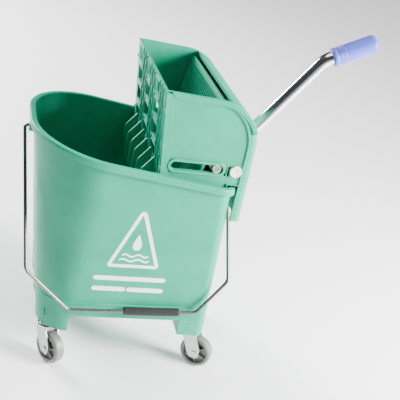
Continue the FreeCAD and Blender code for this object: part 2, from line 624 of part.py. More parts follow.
def make_pivot():
    """The lever's axle, its capped bushes in the side walls, the cams and the return springs."""
    axle_start = ("pivot_place", "- side - axle_end", "pivot_level")
    keep(rod("axle_bar", "axle_radius", ALONG_Y, axle_start, "2 * ( side + axle_end )"), "pivot_axle")
    bushes = []
    screws = []
    for word, side in (("front", -1), ("back", 1)):
        inside = "side - shell" if side > 0 else "- side"
        sleeve_start = ("pivot_place", inside, "pivot_level")
        sleeve = rod("bush_sleeve_" + word, "bush_radius", ALONG_Y, sleeve_start, "shell")
        outside = "side" if side > 0 else "- side - bush_cap"
        cap_start = ("pivot_place", outside, "pivot_level")
        cap = rod("bush_cap_" + word, "bush_flange", ALONG_Y, cap_start, "bush_cap")
        cap = rounded_ends("bush_round_" + word, cap, "bush_round")
        bore_start = ("pivot_place", "- side - axle_end - running", "pivot_level")
        bore = rod("bush_bore_" + word, "axle_radius + running", ALONG_Y, bore_start,
                   "2 * ( side + axle_end + running )")
        bushes.append(cut("bush_" + word, fuse("bush_blank_" + word, sleeve, cap), bore))
        for level in ("screw_low", "screw_high"):
            place = "throat_pour + sieve_wall / 2 + ( throat_level - %s ) * screw_lean" % level
            start = (place, "side" if side > 0 else "- side - screw_head", level)
            screws.append(rod("screw_%s_%s" % (word, level), "screw_radius", ALONG_Y, start, "screw_head"))
    keep(group("bush_pair", *bushes), "pivot_bushes")
    keep(group("screw_group", *screws), "sieve_screws")
    for word, side in (("front", -1), ("back", 1)):
        cam = doc.addObject("Part::Feature", "cam_" + word)
        cam.Shape = cam_shape(side)
        keep(cam, "lever_cam_" + word)
        spring = doc.addObject("Part::Feature", "spring_" + word)
        spring.Shape = torsion_spring(side)
        keep(spring, "return_spring_" + word)


def make_lever():
    """The bracket on the axle, and the bent tube with its grip."""
    side = value("lever_side")
    pivot = Vector(value("pivot_place"), side, value("pivot_level"))
    elbow = Vector(value("elbow_place"), side, value("elbow_level"))
    bend = Vector(value("bend_place"), side, value("bend_level"))
    end = Vector(value("tube_end_place"), side, value("tube_end_level"))
    out = (elbow - pivot).normalize()
    tube_start = pivot + out * value("tube_inset")

    width = value("bracket_width")
    across = Vector(0, 1, 0)
    hub_start = pivot - across * (width / 2)
    hub = Part.makeCylinder(value("bracket_radius"), width, hub_start, across)
    sleeve = Part.makeCylinder(value("sleeve_radius"), value("sleeve_reach"), pivot, out)
    blank = hub.fuse(sleeve).removeSplitter()
    bores = Part.makeCylinder(value("axle_radius"), width, hub_start, across)
    bores = bores.fuse(Part.makeCylinder(value("tube_radius"), value("sleeve_reach"), tube_start, out))
    bolt_place = pivot + out * value("bolt_place")
    bolt_start = bolt_place - across * value("sleeve_radius + bolt_head")
    bolt_length = 2 * value("sleeve_radius + bolt_head")
    shank = Part.makeCylinder(value("bolt_radius"), bolt_length, bolt_start, across)
    bracket = doc.addObject("Part::Feature", "bracket_solid")
    bracket.Shape = blank.cut(bores).cut(shank)
    keep(bracket, "lever_bracket")

    path = bent_path([tube_start, elbow, bend, end], [value("elbow_bend"), value("grip_bend")])
    outside = round_sweep(path, value("tube_radius"))
    inside = round_sweep(path, value("tube_radius - tube_wall"))
    tube = doc.addObject("Part::Feature", "tube_solid")
    tube.Shape = outside.cut(inside).cut(shank)
    keep(tube, "handle_tube")

    heads = [shank]
    for place in (bolt_start, bolt_start + across * (bolt_length - value("bolt_head"))):
        heads.append(Part.makeCylinder(value("bolt_radius + 3"), value("bolt_head"), place, across))
    bolt = doc.addObject("Part::Feature", "bolt_solid")
    bolt.Shape = heads[0].fuse(heads[1:]).removeSplitter()
    keep(bolt, "bracket_bolt")

    grip_line = (end - bend).normalize()
    length = value("grip_length")
    start = end + grip_line * (value("grip_cap") - length)
    sleeve = Part.makeCylinder(value("grip_radius"), length, start, grip_line)
    sleeve = sleeve.makeFillet(value("grip_round"), [edge for edge in sleeve.Edges if edge.Closed])
    grip = doc.addObject("Part::Feature", "grip_solid")
    bore_start = start - grip_line * value("grip_cap")
    grip.Shape = sleeve.cut(Part.makeCylinder(value("tube_radius"), length, bore_start, grip_line))
    keep(grip, "handle_grip")


def write_parts():
    """Recompute, check every object and write each sub-part to its own file."""
    doc.recompute()
    for thing in doc.Objects:
        if "Invalid" in thing.State or "Error" in thing.State:
            raise RuntimeError("%s: %s" % (thing.Name, thing.State))
    for thing in parts:
        shape = thing.Shape
        if shape.isNull() or not shape.isValid() or not shape.Solids:
            raise RuntimeError("%s has no valid solid" % thing.Label)
    os.makedirs("parts", exist_ok=True)
    for thing in parts:
        thing.Shape.exportStep("parts/%s.step" % thing.Label)
        bounds = thing.Shape.BoundBox
        print(thing.Label, round(thing.Shape.Volume), "mm3", bounds)


make_tub()
make_sockets_and_bushes()
for corner, corner_end, corner_side in corner_tags():
    spot_y = value("castor_%s_side * ( %d )" % (corner_end, corner_side))
    make_castor(corner, (value("castor_" + corner_end), spot_y), value("yaw_" + corner))
make_bail()
make_housing()
make_sieve()
make_press()
make_pivot()
make_lever()
write_parts()
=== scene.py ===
import json
import math
import bmesh
import bpy
from mathutils import Matrix, Vector


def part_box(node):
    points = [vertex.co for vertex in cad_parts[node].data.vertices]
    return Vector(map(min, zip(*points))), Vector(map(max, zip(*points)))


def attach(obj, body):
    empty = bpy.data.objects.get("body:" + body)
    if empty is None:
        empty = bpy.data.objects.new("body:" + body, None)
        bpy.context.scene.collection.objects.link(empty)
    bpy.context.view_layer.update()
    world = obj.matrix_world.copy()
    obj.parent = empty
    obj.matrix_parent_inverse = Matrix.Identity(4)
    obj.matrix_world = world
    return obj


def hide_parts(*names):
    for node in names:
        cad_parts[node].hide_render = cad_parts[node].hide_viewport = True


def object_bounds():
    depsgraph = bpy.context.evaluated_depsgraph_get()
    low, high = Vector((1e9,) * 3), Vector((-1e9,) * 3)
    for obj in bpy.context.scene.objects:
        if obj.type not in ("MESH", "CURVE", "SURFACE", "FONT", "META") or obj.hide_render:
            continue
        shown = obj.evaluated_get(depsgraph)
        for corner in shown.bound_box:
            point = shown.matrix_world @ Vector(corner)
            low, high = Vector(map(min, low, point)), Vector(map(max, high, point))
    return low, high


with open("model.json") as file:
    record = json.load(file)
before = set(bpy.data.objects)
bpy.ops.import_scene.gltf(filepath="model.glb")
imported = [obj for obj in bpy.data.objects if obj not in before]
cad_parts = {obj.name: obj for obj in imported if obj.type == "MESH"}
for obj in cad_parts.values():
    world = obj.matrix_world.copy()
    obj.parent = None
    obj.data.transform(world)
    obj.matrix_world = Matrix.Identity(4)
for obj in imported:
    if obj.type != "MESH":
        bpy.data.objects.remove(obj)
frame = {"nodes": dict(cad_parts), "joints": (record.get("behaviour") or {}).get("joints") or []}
cad_low, cad_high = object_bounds()

# Everything below is in millimetres in the frame's axes and becomes metres when a mesh is made.
# X runs from the pouring end (-X) to the wringer end (+X), -Y is the front, Z = 0 is the floor.
MM = 0.001
X, Y, Z = Vector((1, 0, 0)), Vector((0, 1, 0)), Vector((0, 0, 1))
CORNERS = ("pour_front", "pour_back", "press_front", "press_back")


def span(node):
    """A CAD node's lowest and highest corners in millimetres."""
    low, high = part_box(node)
    return Vector(low) / MM, Vector(high) / MM


def joint(name):
    """A joint's place in millimetres and its direction."""
    found = next(entry for entry in frame["joints"] if entry["name"] == name)
    return Vector(found["pos_m"]) / MM, Vector(found["axis"]).normalized()


# ---------------------------------------------------------------- finishes

def screen(red, green, blue):
    """A colour written as screen values from 0 to 255."""
    shares = [channel / 255 for channel in (red, green, blue)]
    linear = [share / 12.92 if share < 0.04 else ((share + 0.055) / 1.055) ** 2.4 for share in shares]
    return (*linear, 1.0)


def node(tree, kind, output=0, settings=None, **inputs):
    """Add a shader node, link or set its inputs by name, and return one of its outputs."""
    made = tree.nodes.new("ShaderNode" + kind)
    for name, setting in (settings or {}).items():
        setattr(made, name, setting)
    for name, given in inputs.items():
        socket = made.inputs[int(name[1:])] if name[1:].isdigit() else made.inputs[name.replace("_", " ")]
        if isinstance(given, bpy.types.NodeSocket):
            tree.links.new(given, socket)
        else:
            socket.default_value = given
    return made.outputs[output]


def blotches(tree, place, size, detail=3.0, stretch=(1, 1, 1), turn=(0, 0, 0)):
    """Noise whose blotches are about a size in millimetres."""
    scale = [part / (size * MM) for part in stretch]
    at = node(tree, "Mapping", Vector=place, Scale=scale, Rotation=turn)
    return node(tree, "TexNoise", Vector=at, Scale=1.0, Detail=detail, Roughness=0.6)


def between(tree, value, low, high, start=0.0, end=1.0):
    """Stretch the range from low to high over the range from start to end."""
    return node(tree, "MapRange", Value=value, From_Min=low, From_Max=high, To_Min=start, To_Max=end)


def product(tree, *values):
    total = values[0]
    for value in values[1:]:
        total = node(tree, "Math", settings={"operation": "MULTIPLY"}, _0=total, _1=value)
    return total


def plus(tree, *values):
    total = values[0]
    for value in values[1:]:
        total = node(tree, "Math", settings={"operation": "ADD"}, _0=total, _1=value)
    return total


def blend_colour(tree, share, first, second):
    return node(tree, "Mix", 2, {"data_type": "RGBA"}, _0=share, _6=first, _7=second)


def scratches(tree, place, cover):
    """Hairline scratches in three directions; cover is how much of the surface they touch."""
    lines = []
    for size, turn in ((2.2, (0.3, 0.2, 0.5)), (1.6, (1.1, -0.4, 2.0)), (1.3, (-0.7, 0.9, -1.2))):
        noise = blotches(tree, place, size, 2.0, (1, 1, 0.025), turn)
        lines.append(between(tree, noise, 0.72 - cover, 0.76 - cover))
    patches = between(tree, blotches(tree, place, 45, 2.0), 0.48, 0.66)
    return product(tree, plus(tree, *lines), patches)


def finish(name, tone, deep, pale, rough, grain=0.8, relief=0.05, cover=0.03, wear=0.5, metal=0.0, brush=None,
           **shader):
    """A procedural surface: mottled tone, fine grain, hairline scratches and rubbed edges."""
    material = bpy.data.materials.new(name)
    material.use_nodes = True
    tree = material.node_tree
    surface = tree.nodes["Principled BSDF"]
    place = node(tree, "TexCoord", 3)
    cloud = between(tree, blotches(tree, place, 60, 4.0), 0.35, 0.65)
    fine = blotches(tree, place, grain, 4.0, brush or (1, 1, 1))
    speck = between(tree, blotches(tree, place, 6, 5.0), 0.4, 0.75)
    marks = scratches(tree, place, cover)
    point = node(tree, "NewGeometry", 7)
    rubbed = between(tree, blotches(tree, place, 9), 0.35, 0.6)
    edges = product(tree, between(tree, point, 0.52, 0.6), rubbed, wear)

    colour = blend_colour(tree, product(tree, cloud, 0.55), tone, deep)
    colour = blend_colour(tree, product(tree, speck, 0.22), colour, deep)
    colour = blend_colour(tree, product(tree, between(tree, fine, 0.3, 0.7), 0.12), colour, pale)
    colour = blend_colour(tree, product(tree, marks, 0.35), colour, pale)
    colour = blend_colour(tree, edges, colour, pale)
    tree.links.new(colour, surface.inputs["Base Color"])

    rough_low, rough_high = rough
    gloss = between(tree, plus(tree, product(tree, cloud, 0.6), product(tree, fine, 0.4)), 0.1, 0.9,
                    rough_low, rough_high)
    gloss = plus(tree, gloss, product(tree, marks, 0.12))
    tree.links.new(gloss, surface.inputs["Roughness"])

    height = plus(tree, product(tree, fine, 0.6), product(tree, speck, 0.5), product(tree, marks, -0.7))
    bump = node(tree, "Bump", Height=height, Strength=0.6, Distance=relief * MM)
    tree.links.new(bump, surface.inputs["Normal"])
    surface.inputs["Metallic"].default_value = metal
    for socket, value in shader.items():
        surface.inputs[socket.replace("_", " ")].default_value = value
    return material


MINT = finish("mint_plastic", screen(6, 148, 115), screen(2, 124, 94), screen(78, 194, 166), (0.34, 0.46),
              grain=0.9, relief=0.07, cover=0.03, wear=0.16, Subsurface_Weight=0.1, Subsurface_Scale=0.004,
              Specular_IOR_Level=0.22)
PRINT = finish("white_print", screen(232, 246, 240), screen(208, 230, 220), screen(250, 252, 250), (0.38, 0.52),
               grain=0.6, relief=0.03, cover=0.05, wear=0.2)
ZINC = finish("zinc_plate", screen(196, 198, 198), screen(150, 153, 156), screen(226, 226, 222), (0.2, 0.4),
              grain=1.2, relief=0.03, cover=0.05, wear=0.3, metal=1.0)
CHROME = finish("polished_chrome", screen(214, 216, 220), screen(186, 188, 194), screen(240, 240, 240),
                (0.12, 0.24), grain=0.7, relief=0.008, cover=0.02, wear=0.1, metal=1.0)
STEEL = finish("ground_steel", screen(112, 112, 110), screen(78, 78, 78), screen(168, 166, 160), (0.24, 0.42),
               grain=0.5, relief=0.03, cover=0.05, wear=0.4, metal=1.0, brush=(6, 0.3, 6))
WHEEL = finish("milky_wheel", screen(128, 132, 124), screen(98, 102, 94), screen(176, 178, 170), (0.28, 0.48),
               grain=0.7, relief=0.05, cover=0.07, wear=0.2, Transmission_Weight=0.25, IOR=1.46,
               Subsurface_Weight=0.25, Subsurface_Scale=0.004)
BLUE = finish("periwinkle_grip", screen(62, 76, 186), screen(48, 60, 160), screen(120, 134, 218), (0.38, 0.55),
              grain=0.5, relief=0.08, cover=0.03, wear=0.35, Sheen_Weight=0.15)
BLACK = finish("dark_grip", screen(14, 12, 12), screen(8, 7, 7), screen(40, 36, 34), (0.4, 0.55),
               grain=0.5, relief=0.07, cover=0.04, wear=0.4)
WHITE = finish("white_nylon", screen(236, 236, 228), screen(212, 212, 202), screen(250, 250, 246), (0.28, 0.42),
               grain=0.6, relief=0.03, cover=0.03, wear=0.2, Subsurface_Weight=0.15, Subsurface_Scale=0.003)
DARK = finish("dark_nylon", screen(44, 46, 48), screen(26, 28, 30), screen(98, 100, 102), (0.34, 0.5),
              grain=0.6, relief=0.04, cover=0.03, wear=0.4)


# ---------------------------------------------------------------- mesh helpers

class Shape:
    """The points and faces of a piece, in millimetres."""

    def __init__(self):
        self.points = []
        self.faces = []

    def bridge(self, loops, wrap=False, shut=True):
        """Join loops of the same count into a skin.

        Wrap joins the last loop to the first; without it both end loops get a flat cap. Rows that
        aren't shut are open lines, whose ends stay apart.
        """
        first = len(self.points)
        count = len(loops[0])
        for loop in loops:
            self.points.extend(loop)
        rows = len(loops) if wrap else len(loops) - 1
        for row in range(rows):
            here = first + row * count
            there = first + ((row + 1) % len(loops)) * count
            for index in range(count if shut else count - 1):
                after = (index + 1) % count
                self.faces.append((here + index, here + after, there + after, there + index))
        if not wrap:
            last = first + (len(loops) - 1) * count
            self.faces.append(tuple(reversed(range(first, first + count))))
            self.faces.append(tuple(range(last, last + count)))
        return self

    def turned(self, profile, origin, axis, segments, wrap=False):
        """A profile of (along, radius) points spun about an axis."""
        axis = axis.normalized()
        side = axis.orthogonal().normalized()
        over = axis.cross(side)
        turns = [math.tau * step / segments for step in range(segments)]
        ring = [side * math.cos(turn) + over * math.sin(turn) for turn in turns]
        loops = [[origin + axis * along + out * radius for out in ring] for along, radius in profile]
        return self.bridge(loops, wrap)

    def stacked(self, outline, steps, plane, wrap=False):
        """Copies of a flat outline at steps of (inset, height), joined; wrap makes a ring of them."""
        loops = []
        for distance, height in steps:
            loops.append([plane(point, height) for point in inset(outline, distance)])
        return self.bridge(loops, wrap)

    def plate(self, outline, low, high, plane, edge):
        """A flat plate from one height to another with rounded edges."""
        steps = [(edge, low), (edge * 0.3, low + edge * 0.3), (0, low + edge),
                 (0, high - edge), (edge * 0.3, high - edge * 0.3), (edge, high)]
        return self.stacked(outline, steps, plane)

    def mesh(self, name):
        data = bpy.data.meshes.new(name)
        data.from_pydata([tuple(point * MM) for point in self.points], [], self.faces)
        return data


def flat(origin, across, up):
    """A plane for flat outlines: it turns (u, v) and a height into a place."""
    out = across.cross(up)
    return lambda point, height: origin + across * point[0] + up * point[1] + out * height


def inset(outline, distance):
    """A closed outline moved inwards; distance is one number or one for each edge."""
    count = len(outline)
    area = sum(outline[i - 1][0] * outline[i][1] - outline[i][0] * outline[i - 1][1] for i in range(count))
    side = 1 if area > 0 else -1
    distances = distance if isinstance(distance, (list, tuple)) else [distance] * count
    normals = []
    for index in range(count):
        run = Vector(outline[(index + 1) % count]) - Vector(outline[index])
        run.normalize()
        normals.append(Vector((-run.y, run.x)) * side)
    moved = []
    for index in range(count):
        first, second = normals[index - 1], normals[index]
        near, far = distances[index - 1], distances[index]
        turn = first.x * second.y - first.y * second.x
        if abs(turn) > 0.25:
            shift = Vector((near * second.y - far * first.y, far * first.x - near * second.x)) / turn
        else:
            middle = (first + second).normalized()
            shift = middle * ((near + far) / 2 / middle.dot(first))
        moved.append(Vector(outline[index]) + shift)
    return moved


def rounded(corners, segments=6):
    """A closed outline whose corners (x, y, radius) become arcs."""
    points = []
    for index, corner in enumerate(corners):
        here = Vector(corner[:2])
        radius = corner[2] if len(corner) > 2 else 0
        if not radius:
            points.append(here)
            continue
        back = (Vector(corners[index - 1][:2]) - here).normalized()
        ahead = (Vector(corners[(index + 1) % len(corners)][:2]) - here).normalized()
        half = back.angle(ahead) / 2
        centre = here + (back + ahead).normalized() * (radius / math.sin(half))
        start = here + back * (radius / math.tan(half)) - centre
        end = here + ahead * (radius / math.tan(half)) - centre
        turn = math.atan2(start.x * end.y - start.y * end.x, start.dot(end))
        for step in range(segments + 1):
            part = turn * step / segments
            cos, sin = math.cos(part), math.sin(part)
            points.append(centre + Vector((start.x * cos - start.y * sin, start.x * sin + start.y * cos)))
    return points


def stadium(start, end, level, radius, segments):
    """A long round-ended outline."""
    points = []
    for place, first in ((end, -90), (start, 90)):
        for step in range(segments + 1):
            turn = math.radians(first + 180 * step / segments)
            points.append(Vector((place + radius * math.cos(turn), level + radius * math.sin(turn))))
    return points


def strip(middle, half, low, high, radius, segments):
    """A long upright outline with rounded corners."""
    left, right = middle - half, middle + half
    corners = [(left, low), (right, low), (right, high), (left, high)]
    return rounded([(*corner, radius) for corner in corners], segments)


def place_piece(data, name, body, material, replaced=(), sharp=40, weighted=True):
    """Make the object of a finished mesh and tie it to the frame."""
    data.name = name
    thing = bpy.data.objects.new(name, data)
    bpy.context.scene.collection.objects.link(thing)
    data.materials.clear()
    data.materials.append(material)
    data.shade_smooth()
    data.set_sharp_from_angle(angle=math.radians(sharp))
    if weighted:
        normals = thing.modifiers.new("normals", "WEIGHTED_NORMAL")
        normals.keep_sharp = True
    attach(thing, body)
    if replaced:
        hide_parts(*replaced)
    return thing


def outward(data):
    """Turn every face of a closed mesh to face out."""
    work = bmesh.new()
    work.from_mesh(data)
    bmesh.ops.recalc_face_normals(work, faces=work.faces)
    work.to_mesh(data)
    work.free()
    return data


def piece(shape, name, body, material, replaced=(), sharp=40, weighted=True):
    return place_piece(outward(shape.mesh(name)), name, body, material, replaced, sharp, weighted)


def carve(blank, cutters, name):
    """Cut shapes out of a blank shape and return the mesh that is left."""
    work = bpy.data.objects.new(name, outward(blank.mesh(name)))
    bpy.context.scene.collection.objects.link(work)
    tools = []
    for index, cutter in enumerate(cutters):
        tool = bpy.data.objects.new("%s_tool_%d" % (name, index), outward(cutter.mesh("%s_tool" % name)))
        bpy.context.scene.collection.objects.link(tool)
        tools.append(tool)
        change = work.modifiers.new("cut_%d" % index, "BOOLEAN")
        change.operation = "DIFFERENCE"
        change.solver = "EXACT"
        change.object = tool
    left = bpy.data.meshes.new_from_object(work.evaluated_get(bpy.context.evaluated_depsgraph_get()))
    for thing in (work, *tools):
        bpy.data.objects.remove(thing)
    return left


def ease(data, width, segments=2):
    """Merge flat faces of a mesh and round its sharp edges."""
    weld, level, sharp_limit = 0.00001, math.radians(1), math.radians(35)
    work = bmesh.new()
    work.from_mesh(data)
    bmesh.ops.remove_doubles(work, verts=work.verts, dist=weld)
    bmesh.ops.dissolve_limit(work, angle_limit=level, verts=work.verts, edges=work.edges)
    sharp = [edge for edge in work.edges if len(edge.link_faces) == 2 and edge.calc_face_angle() > sharp_limit]
    bmesh.ops.bevel(work, geom=sharp, offset=width * MM, segments=segments, profile=0.5, affect="EDGES",
                    clamp_overlap=True, miter_outer="ARC")
    work.to_mesh(data)
    work.free()
    return data


def join(datas, name):
    """One mesh out of several."""
    work = bmesh.new()
    for data in datas:
        work.from_mesh(data)
    whole = bpy.data.meshes.new(name)
    work.to_mesh(whole)
    work.free()
    return whole


def eased_node(label, body, material, width):
    """A visual piece with the CAD node's own shape and rounded edges."""
    data = frame["nodes"][label].data.copy()
    return place_piece(ease(data, width), label + "_look", body, material, (label,))


# ---------------------------------------------------------------- tub

# The tub's plan at two levels: the reach of its ends and sides, and the corner rounds at each end.
# The rim falls towards the wringer, and its lip stands out less at that end.
FOOT = {"level": 70, "pour": 137, "press": 144, "side": 115, "pour_round": 48, "press_round": 16}
TOP = {"level": 420, "pour": 175, "press": 126, "side": 139.5, "pour_round": 118, "press_round": 24}
LEAN = (TOP["side"] - FOOT["side"]) / (TOP["level"] - FOOT["level"])
BASE, WALL, LEG, STEP = 100, 3, 48, 28
RIM, FALL = 375, 0.13
LIP, LIP_PRESS = 7, 4
BOSS_POUR, BOSS_PRESS = (-177.5, -166), (126.5, 136)
REST_PLACES, REST_WIDE, REST_INNER, REST_LEVEL = (26, 92), 8, 112, 311.5


def plan(stage, grow):
    """Points round the tub's plan at one level, grown outwards by an amount.

    Each corner is its round's centre, radius, first angle and number of steps. The runs are the numbers
    of steps along the straight sides between the corners.
    """
    grow_press = grow * LIP_PRESS / LIP if grow > 0 else grow
    left, right = -stage["pour"] - grow, stage["press"] + grow_press
    side = stage["side"] + grow
    big, small = stage["pour_round"] + grow, stage["press_round"] + grow_press
    corners = ((left + big, big - side, big, 180, 28), (right - small, small - side, small, 270, 10),
               (right - small, side - small, small, 0, 10), (left + big, side - big, big, 90, 28))
    runs = (24, 22, 24, 8)
    points = []
    for index, (x, y, radius, start, steps) in enumerate(corners):
        for step in range(steps + 1):
            turn = math.radians(start + 90 * step / steps)
            points.append(Vector((x + radius * math.cos(turn), y + radius * math.sin(turn))))
        near = points[-1]
        x, y, radius, start, steps = corners[(index + 1) % 4]
        turn = math.radians(start)
        far = Vector((x + radius * math.cos(turn), y + radius * math.sin(turn)))
        points.extend(near.lerp(far, step / runs[index]) for step in range(1, runs[index]))
    return points


def tub_loop(grow, level=None, drop=None):
    """A loop on the tub's form, at a level or at a drop below the sloping rim."""
    loop = []
    for low, high in zip(plan(FOOT, grow), plan(TOP, grow)):
        rise = high - low
        height = TOP["level"] - FOOT["level"]
        if drop is None:
            part = (level - FOOT["level"]) / height
        else:
            part = (RIM - drop - FALL * low.x - FOOT["level"]) / (height + FALL * rise.x)
        flat_place = low + rise * part
        loop.append(Vector((flat_place.x, flat_place.y, FOOT["level"] + height * part)))
    return loop


def wall_plane():
    """The plane of the tub's straight front wall, for outlines in X and the level above the floor."""
    up = Vector((0, -LEAN, 1)).normalized()
    origin = Vector((0, -FOOT["side"] + LEAN * FOOT["level"], 0))
    plane = flat(origin, X, up)
    return lambda point, height: plane((point[0], point[1] / up.z), height)


def tub_shell():
    """The tapering wall with a base step, a hollow rolled lip and a rounded floor.

    The rows are pairs of growth and place: levels up the outside, drops below the rim over the lip, and
    levels down the inside.
    """
    step = BASE + STEP
    levels = [(-14, BASE), (-13, BASE), (-1.6, BASE), (-0.5, BASE + 0.5), (0, BASE + 1.8), (0, step - 2.4),
              (-0.1, step - 1.4), (-0.5, step - 0.9), (-1.3, step - 0.6), (-1.6, step), (-1.6, step + 2),
              (-1.2, step + 10), (-0.5, step + 24), (0, step + 44), (0, 230), (0, 290)]
    drops = [(0, 40), (0, 20), (0, 12), (0, 4.6), (0.3, 3.4), (1, 2.8), (3.6, 2.8), (4.3, 3.4), (4.6, 4.6),
             (4.6, 10.2), (4.9, 10.8), (5.4, 11), (6.4, 11), (6.8, 10.8), (7, 10.2), (7, 4), (6.8, 2.6),
             (6.1, 1.3), (5.1, 0.4), (3.8, 0), (-1.6, 0), (-2.4, 0.25), (-2.9, 0.9), (-3, 1.8), (-3, 12),
             (-3, 40)]
    inner = [(-3, 290), (-3, 230), (-3, 160), (-3, BASE + 11), (-3.5, BASE + 7.4), (-4.8, BASE + 5),
             (-7.2, BASE + 3.5), (-10.5, BASE + WALL), (-12, BASE + WALL)]
    loops = [tub_loop(grow, level=level) for grow, level in levels]
    loops += [tub_loop(grow, drop=drop) for grow, drop in drops]
    loops += [tub_loop(grow, level=level) for grow, level in inner]
    return Shape().bridge(loops)


def leg_outline(level, end, side):
    """One leg's plan at a level: the tub's corner and two inner sides."""
    part = (level - FOOT["level"]) / (TOP["level"] - FOOT["level"])
    here = {key: FOOT[key] + (TOP[key] - FOOT[key]) * part for key in FOOT}
    radius = here[end + "_round"]
    reach, wide = here[end], here["side"]
    inner_x, inner_y = FOOT[end] - LEG, FOOT["side"] - LEG
    centre_x, centre_y = reach - radius, wide - radius
    start = math.acos(max(0.0, (inner_x - centre_x) / radius))
    stop = math.asin(max(0.0, (inner_y - centre_y) / radius))
    points = [Vector((inner_x, inner_y))]
    if inner_x < centre_x:
        points.append(Vector((inner_x, wide)))
    steps = 14
    for step in range(steps + 1):
        turn = start + (stop - start) * step / steps
        points.append(Vector((centre_x + radius * math.cos(turn), centre_y + radius * math.sin(turn))))
    if inner_y < centre_y:
        points.append(Vector((reach, inner_y)))
    sign = -1 if end == "pour" else 1
    return [Vector((point.x * sign, point.y * side)) for point in points]


def add_leg(shape, corner):
    """A hollow leg with a bored boss for the castor, braced by four ribs."""
    end, word = corner.split("_")
    side = -1 if word == "front" else 1
    steps = [(0.5, BASE + 1.5), (0, BASE + 1), (0, 71.5), (0.3, 70.4), (1, 70), (2, 70), (2.7, 70.4), (3, 71.5),
             (3, BASE - 3)]
    loops = []
    for distance, level in steps:
        loops.append([point.to_3d() + Z * level for point in inset(leg_outline(level, end, side), distance)])
    shape.bridge(loops)
    low, high = span("castor_stem_" + corner)
    centre = Vector(((low.x + high.x) / 2, (low.y + high.y) / 2, 0))
    outer, bore = 12, 8.55
    profile = [(70.8, outer - 0.6), (71.4, outer), (BASE + 1, outer), (BASE + 1, bore), (71.2, bore),
               (70.8, bore + 0.4)]
    shape.turned(profile, centre, Z, 40, wrap=True)
    half_rib = 0.9
    for turn in (45, 135, 225, 315):
        out = Vector((math.cos(math.radians(turn)), math.sin(math.radians(turn)), 0))
        plane = flat(centre - out.cross(Z) * half_rib, out, Z)
        rib = [Vector((11, 84)), Vector((16, 90)), Vector((16, BASE)), Vector((11, BASE))]
        shape.plate(rib, -half_rib, half_rib, plane, 0.3)


def add_bail_boss(shape, low, high):
    """A round boss on an end wall between two places in X, bored for the bail's bush."""
    pivot, axis = joint("bail_swing")
    start = pivot + axis * ((low - pivot.x) / axis.x)
    length = (high - low) / axis.x
    bore, outer = 5.05, 9
    profile = [(0, bore + 0.3), (0, outer - 1), (0.3, outer - 0.3), (1, outer),
               (length - 1, outer), (length - 0.3, outer - 0.3), (length, outer - 1), (length, bore + 0.3),
               (length - 0.3, bore), (0.3, bore)]
    shape.turned(profile, start, axis, 48, wrap=True)


def add_rests(shape):
    """Four upright ribs inside the side walls, which the wringer stands on."""
    bottom = BASE + 1
    wall_top = FOOT["side"] - WALL / 2 + LEAN * (REST_LEVEL - FOOT["level"])
    wall_low = FOOT["side"] - WALL / 2 + LEAN * (bottom - FOOT["level"])
    rib = rounded([(REST_INNER, bottom), (wall_low, bottom), (wall_top, REST_LEVEL),
                   (REST_INNER, REST_LEVEL, 2)], 4)
    for low in REST_PLACES:
        shape.plate(rib, 0, REST_WIDE, flat(X * (low + REST_WIDE), -Y, Z), 0.8)
        shape.plate(rib, 0, REST_WIDE, flat(X * low, Y, Z), 0.8)


def make_tub():
    """The whole moulded bucket as one piece."""
    shape = tub_shell()
    for corner in CORNERS:
        add_leg(shape, corner)
    add_bail_boss(shape, *BOSS_POUR)
    add_bail_boss(shape, *BOSS_PRESS)
    add_rests(shape)
    piece(shape, "tub_look", "bucket", MINT, ("bucket_tub",), sharp=50)


def make_print():
    """A plain printed mark: a triangle round a drop over two waves, and three plain bars."""
    plane = wall_plane()
    middle, sunk, thick, band = -3.5, -0.05, 0.18, 5.6
    coat = [(0, sunk), (0.1, thick)]
    shape = Shape()
    triangle = rounded([(-46.5, 203, 5), (39, 203, 5), (middle, 318, 6)], 8)
    shape.stacked(triangle, coat + [(band, thick), (band + 0.1, sunk)], plane, wrap=True)
    drop_wide, drop_tall, drop_level, drop_steps = 9.5, 15, 251, 40
    drop = []
    for step in range(drop_steps):
        turn = math.tau * step / drop_steps
        across = drop_wide * math.sin(turn) * math.sin(turn / 2) ** 1.3
        drop.append(Vector((middle + across, drop_level + drop_tall * math.cos(turn))))
    shape.stacked(drop, coat, plane)
    half_line, swell = 1.6, 2.2
    for level, reach in ((226, 21), (217, 24)):
        upper = []
        lower = []
        for step in range(33):
            x = middle + reach * (step / 16 - 1)
            wave = swell * math.sin(step / 32 * math.tau * 2)
            upper.append(Vector((x, level + half_line + wave)))
            lower.append(Vector((x, level - half_line + wave)))
        shape.stacked(upper[::-1] + lower, coat, plane)
    half_bar = 4.2
    for start, end, level in ((-58, 50, 181), (-58, -12, 160), (-2, 50, 160)):
        shape.stacked(stadium(start, end, level, half_bar, 6), coat, plane)
    piece(shape, "wall_print", "bucket", PRINT, weighted=False)


# ---------------------------------------------------------------- wringer housing

# Places in X and Z on the housing's side walls, in millimetres
SIDE, SHELL = 126.5, 4
THROAT, THROAT_FOOT = Vector((-6, 500)), Vector((14, 312))
SHOULDER, SHOULDER_ROUND = Vector((151, 492)), 75
HOOK_INNER, HOOK_OUTER, HOOK_LEVEL, SKIRT_LOW = 117, 134, 361.5, 300
MOUTH = 98
SLOT_POUR, SLOT_PRESS, SLOT_HALF = 28.5, 96.5, 6.5
LEVER_SLOT, LEVER_SLOT_LOW, LEVER_SLOT_HIGH = 18, 340, 408
BAIL_NOTCH, BAIL_NOTCH_HIGH = 7, 346
BUSH = 8
# The outline's first edges are the throat, the foot and the hook over the rim; the end wall comes after.
SHARP_EDGES, ARC_STEPS = 6, 18


